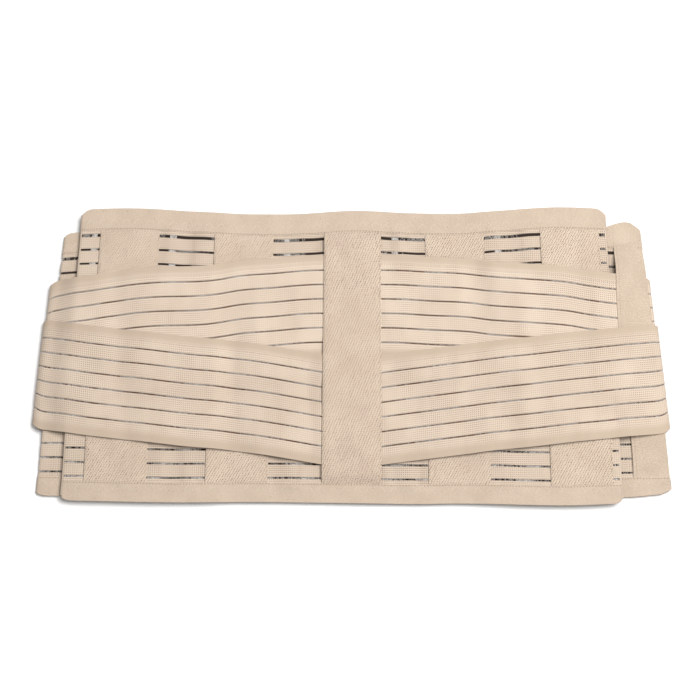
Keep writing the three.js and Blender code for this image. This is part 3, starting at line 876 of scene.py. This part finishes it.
# How far the straps stand up off the back between the places where they press on it
left_swell = [(0, 0), (30, 0), (60, 1.6), (90, 2.2), (105, 0.1), (118, 1.7), (150, 2.6)]
left_swell += [(184, 2.1), (199, 0.1), (212, 1.3), (230, 0.5), (245, 0), (300, 0)]
right_swell = [(0, 0), (30, 0), (60, 1.4), (100, 2.4), (119, 0.2), (132, 1.6), (160, 2.4)]
right_swell += [(185, 1.5), (205, 0.4), (218, 0.8), (232, 0), (300, 0)]
left_swelling = curve_through(left_swell)
right_swelling = curve_through(right_swell)


def swell(side, distance, y):
    rise = (left_swelling if side.sign < 0 else right_swelling)(distance + 0.12 * side.sign * y)
    return np.clip(rise, 0, None) * ease(distance, 27, 45)


def upper_height(side, distance, y):
    dropped = ease(distance, side.pleat_edge - 3, side.outer_fold + 3)
    on_back = back_height_at(side.sign * np.minimum(distance, side.pleat_edge - bend)) + over_covers
    return mix(on_back, layer_height(1) + over_elastic, dropped) + lift(y)


def strap_height(strap, distance, y):
    side = strap.side
    height = upper_height(side, distance, y) + swell(side, distance, y)
    if strap.kind == "upper":
        return height
    over = upper_left if side.sign < 0 else upper_right
    climb_end = over.top(distance) - over.width - line_pitch
    height = height + strap_pitch * ease(y, climb_end - line_pitch, climb_end)
    if side is right:
        on_guide = ease(distance, side.pleat_edge - bend, side.strip_end - 1)
        height = height + on_guide * (cover_thickness + strap_gap)
    return height


def strap_offsets(strap):
    """Distances down from the strap's upper edge to each row, with both lips of each line."""
    half = strap_line / 2
    offsets = [0, 0.4, 1.2, 4, 8, strap.margin - 3.5]
    for line in range(strap_lines):
        middle = strap.margin + line * line_pitch
        offsets += [middle - half - 0.6, middle - half, middle + half, middle + half + 0.6]
        if line < strap_lines - 1:
            offsets += [middle + 4, middle + line_pitch / 2, middle + line_pitch - 4]
    last, selvedge = offsets[-1] + 3, strap.width - 1.2
    offsets += [last, mix(last, selvedge, 0.5), selvedge, strap.width - 0.4, strap.width]
    return np.array(offsets)[::-1]


def strap_lie(strap):
    """The strap's grid from its start to its tail, and how many columns lie before the fold's end."""
    side = strap.side
    offsets = strap_offsets(strap)
    centre = strap.fold - fold_depth
    columns = []
    head, foot = (3.6, 2.5) if strap.kind == "upper" else (1.5, 4.0)

    def rows_at(distance, turned=0.0):
        near = np.clip((distance - strap.fold + 9) / 9, 0, 1) ** 2
        top = strap.top(distance) - head * near
        return top - offsets * (strap.width - (head + foot) * near) / strap.width

    for distance in steps(3, centre, 2.6):
        y = rows_at(distance)
        columns.append(place(side.sign * distance, y, strap_height(strap, np.full_like(y, distance), y)))
    start = strap_height(strap, np.full_like(y, centre), y)
    for angle in np.linspace(math.pi / 2, -math.pi / 2, 13)[1:]:
        x = side.sign * (centre + fold_depth * math.cos(angle))
        y = rows_at(abs(x))
        columns.append(place(x, y, mix(strap.under, start, 0.5 + 0.5 * math.sin(angle))))
    shown = len(columns)
    shift = math.copysign(8, strap.drop)
    for share in np.linspace(0, 1, 26)[1:]:
        x = side.sign * mix(centre, strap_tail, share)
        columns.append(place(x, y + share * shift, np.full_like(y, strap.under)))
    lie = np.array(columns)
    if side.sign < 0:
        lie = lie[::-1]
    return lie, offsets, shown


def strap_finish(name, width, light, dark):
    """Ribbed elastic with smooth selvedges and one row of stitch holes below the upper one."""
    cloth = Finish(name, 0.8, 0.15)
    flat, along, across = cloth.weave()
    holes = cloth.math("MULTIPLY", cloth.ripple(along, 1.75), cloth.ripple(across, 1.81))
    from_foot = cloth.step(across, 4.0, 11.0)
    from_head = cloth.step(across, width - 3.0, width - 9.5)
    ribbed = cloth.math("MULTIPLY", from_foot, from_head)
    pins = cloth.math("MULTIPLY", cloth.step(holes, 0.32, 0.85), ribbed)
    clouds = cloth.noise(flat, 0.03, 3.0)
    strain = cloth.step(cloth.noise(flat, 0.05, 2.0, (1, 0.4, 1)), 0.36, 0.64)
    base = cloth.blend(cloth.step(clouds, 0.3, 0.7), light, dark)
    # Stretched noise darkens soft upright bands: painted shade of gentle folds across the strap.
    crease_shade_bands = cloth.step(cloth.noise(flat, 0.06, 2.0, (1, 0.15, 1)), 0.48, 0.72)
    base = cloth.blend(cloth.math("MULTIPLY", crease_shade_bands, 0.14), base, shade(190, 166, 145))
    base = cloth.blend(cloth.math("MULTIPLY_ADD", ribbed, -0.6, 0.6), base, shade(194, 173, 150))
    fuzz = cloth.step(cloth.noise(flat, 1.1, 2.0), 0.36, 0.64)
    base = cloth.blend(cloth.math("MULTIPLY", fuzz, 0.2), base, shade(184, 162, 140))
    shown = cloth.math("MULTIPLY", pins, cloth.math("MULTIPLY_ADD", strain, 0.42, 0.38))
    above = cloth.step(across, width - 9.0, width - 8.6)
    below = cloth.step(across, width - 7.6, width - 8.0)
    row = cloth.math("MULTIPLY", above, below)
    row = cloth.math("MULTIPLY", row, cloth.step(cloth.ripple(along, 2.4), 0.4, 0.8))
    marks = cloth.math("MAXIMUM", shown, cloth.math("MULTIPLY", row, 0.35))
    colour = cloth.blend(marks, base, shade(116, 94, 74))
    ribs = cloth.math("MULTIPLY", cloth.ripple(across, 1.81), ribbed)
    height = cloth.math("MULTIPLY_ADD", pins, -0.8, cloth.math("MULTIPLY", ribs, 0.35))
    height = cloth.math("MULTIPLY_ADD", fuzz, 0.35, height)
    return cloth.finish(colour, height, 0.22)


# Both pairs are the same elastic: the upper pair's colours are set lighter than the lower pair's, painted
# light that brightens the upper straps against the lower ones.
strap_yarns = {
    "upper": ("upper_strap_elastic", upper_strap_width, shade(249, 229, 208), shade(242, 221, 200)),
    "lower": ("lower_strap_elastic", lower_strap_width, shade(244, 224, 203), shade(236, 215, 194)),
}
strap_cloths = {kind: strap_finish(*given) for kind, given in strap_yarns.items()}
# The sheets beneath the straps' open lines are painted shadow.
strap_line_shadow_paint = shadow_finish("strap_line_shadow", shade(104, 78, 62), shade(136, 108, 90))
for strap in (upper_left, upper_right, lower_left, lower_right):
    lie, offsets, shown = strap_lie(strap)
    sign = strap.side.sign
    reach = travelled(lie)[:, len(offsets) // 2]
    pattern = np.stack(np.broadcast_arrays(reach[:, None], strap.width - offsets), axis=-1)
    is_line = np.zeros(len(offsets) - 1, bool)
    for line in range(strap_lines):
        middle = strap.margin + line * line_pitch
        is_line |= (offsets[:-1] > middle) & (offsets[1:] < middle) & (np.abs(offsets[:-1] - middle) < 1)
    column = np.arange(len(lie) - 1)
    from_start = column if sign > 0 else column[::-1]
    open_lines = (from_start < shown)[:, None] & is_line[None, :]
    cloth = woven_grid(strap.node + "_elastic", lie, pattern, open_lines)
    cloth.data.materials.append(strap_cloths[strap.kind])
    thicken(cloth, strap_thickness)
    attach(cloth, "root")
    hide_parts(strap.node)
    out = normals(lie)
    rows = np.flatnonzero(is_line)
    lip_rows = np.stack([rows, rows + 1], axis=1).reshape(-1)
    gaps = np.ones((len(lie) - 1, len(lip_rows) - 1), bool)
    gaps[:, ::2] = ~(from_start < shown)[:, None]
    # Painted shadow: a brown sheet just beneath each open line stands for the shade inside the strap seen
    # through it.
    shadow_sheet_lie = lie[:, lip_rows] - 0.42 * out[:, lip_rows]
    line_shadow_sheet = woven_grid(strap.node + "_line_painted_shadow", shadow_sheet_lie, pattern[:, lip_rows], gaps)
    line_shadow_sheet.data.materials.append(strap_line_shadow_paint)
    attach(line_shadow_sheet, "root")
    strands = []
    part = slice(0, shown) if sign > 0 else slice(len(lie) - shown, None)
    for row in rows:
        lips = lie[part, row], lie[part, row + 1]
        strands += ladder(*lips, out[part, row], 1.15, (9.0, chance.uniform(0, 6)), 0.75, (60, sign))
    filaments = threads(strap.node + "_line_filaments", strands, 0.2, filament)

# Guide panel
# A plain brushed panel at the right-hand side, sewn over the outer fold with its corners rounded.
# The upper strap passes under it and the lower strap over it.


def brushed_finish(name, light, dark):
    """Brushed face: no weave shows, only a short nap with faint clouds and pits."""
    cloth = Finish(name, 0.95, 0.25)
    flat = cloth.weave()[0]
    clouds = cloth.noise(flat, 0.06, 3.0)
    nap = cloth.step(cloth.noise(flat, 0.8, 3.0), 0.4, 0.62)
    pits = cloth.step(cloth.noise(flat, 0.8, 1.0), 0.66, 0.76)
    base = cloth.blend(cloth.step(clouds, 0.3, 0.7), light, dark)
    base = cloth.blend(cloth.math("MULTIPLY", nap, 0.24), base, shade(178, 156, 132))
    colour = cloth.blend(cloth.math("MULTIPLY", pits, 0.22), base, shade(150, 124, 104))
    return cloth.finish(colour, cloth.math("MULTIPLY_ADD", pits, -0.5, nap), 0.2)


brushed_cloth = brushed_finish("brushed_cloth", shade(230, 210, 188), shade(222, 202, 180))
guide_width, guide_length = 26.5, 240
guide_edge = right.outer_fold + 2.8
guide_seam = guide_edge - guide_width
guide_columns = [0, 0.4, 1.2, 2.4, *np.linspace(4, 22, 12), 23.6, 24.8, 25.6, 26.1, guide_width]
guide_x = np.array(guide_columns) + guide_seam
half_guide = cover_thickness / 2
strap_clear = 4
guide_lap = curve_through([(-125, 0), (-75, 0), (28, 5), (100, 2.5), (125, 2)])
columns = []
for distance in guide_x:
    top = float(guide_head(distance)) - 3
    bottom = float(guide_foot(distance)) + 3
    strap_low = float(upper_right.top(distance)) - upper_right.width - strap_clear
    strap_high = float(upper_right.top(distance)) + strap_clear
    y = np.linspace(bottom, top, 90)
    on_strap = upper_height(right, np.full_like(y, distance), y)
    on_strap = on_strap + strap_thickness / 2 + strap_gap + half_guide
    on_fold = layer_height(1) + lift(y) + hem_thickness / 2 + strap_gap + half_guide
    over = ease(y, strap_low - 18, strap_low) * (1 - ease(y, strap_high, strap_high + 18))
    from_end = np.minimum(y - bottom, top - y)
    tuck = 1 - ease(from_end, 14, 22)
    curl = 0.3 * ease(distance, guide_seam + 8, guide_seam) * (1 - tuck)
    lapped = distance - guide_lap(y) * (guide_edge - distance) / guide_width
    columns.append(place(lapped, y, mix(on_fold, on_strap, over) + curl - 1.15 * tuck))
lie = np.array(columns)
pattern = np.stack(np.broadcast_arrays(guide_x[:, None], lie[..., 1]), axis=-1)
guide = woven_grid("guide_panel_brushed", lie, pattern)
guide.data.materials.append(brushed_cloth)
thicken(guide, cover_thickness)
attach(guide, "root")
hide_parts("guide_panel")
guide_out = normals(lie)
guide_top = lie + guide_out * (half_guide + 0.03)
guide_seams = seam("guide_seam", [(guide_top[3, 2:-2], guide_out[3, 2:-2])])

# Front closure panels
# Two plain brushed panels carry on from the elastic and lap over each other beneath the back.
# They are the front fastening, closed here, and the belt lies on them.
front_thickness = 1.6
front_past = 45
front_gap = 0.45
for side, climbs in ((right, False), (left, True)):
    distances = np.array(steps(front_seam - 0.15, -front_past, 3.6))
    bottom = loop_bottom[-1] + bottom_hem_width + front_gap
    top = loop_top[-1] - hem_width - front_gap
    y = np.linspace(bottom, top, 50)
    climb = (1 - ease(distances, front_seam - 40, front_seam - 2)) if climbs else 0 * distances
    z = layer_height(0) + climb * layer_pitch
    lie = place(side.sign * distances[:, None], y[None, :], z[:, None] + lift(y)[None, :])
    if side.sign > 0:
        lie = lie[::-1]
    pattern = np.stack(np.broadcast_arrays(distances[:, None], y[None, :]), axis=-1)
    front = woven_grid(f"front_panel_{side.name}_brushed", lie, pattern)
    front.data.materials.append(brushed_cloth)
    thicken(front, front_thickness)
    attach(front, "root")
    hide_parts(f"front_panel_{side.name}")
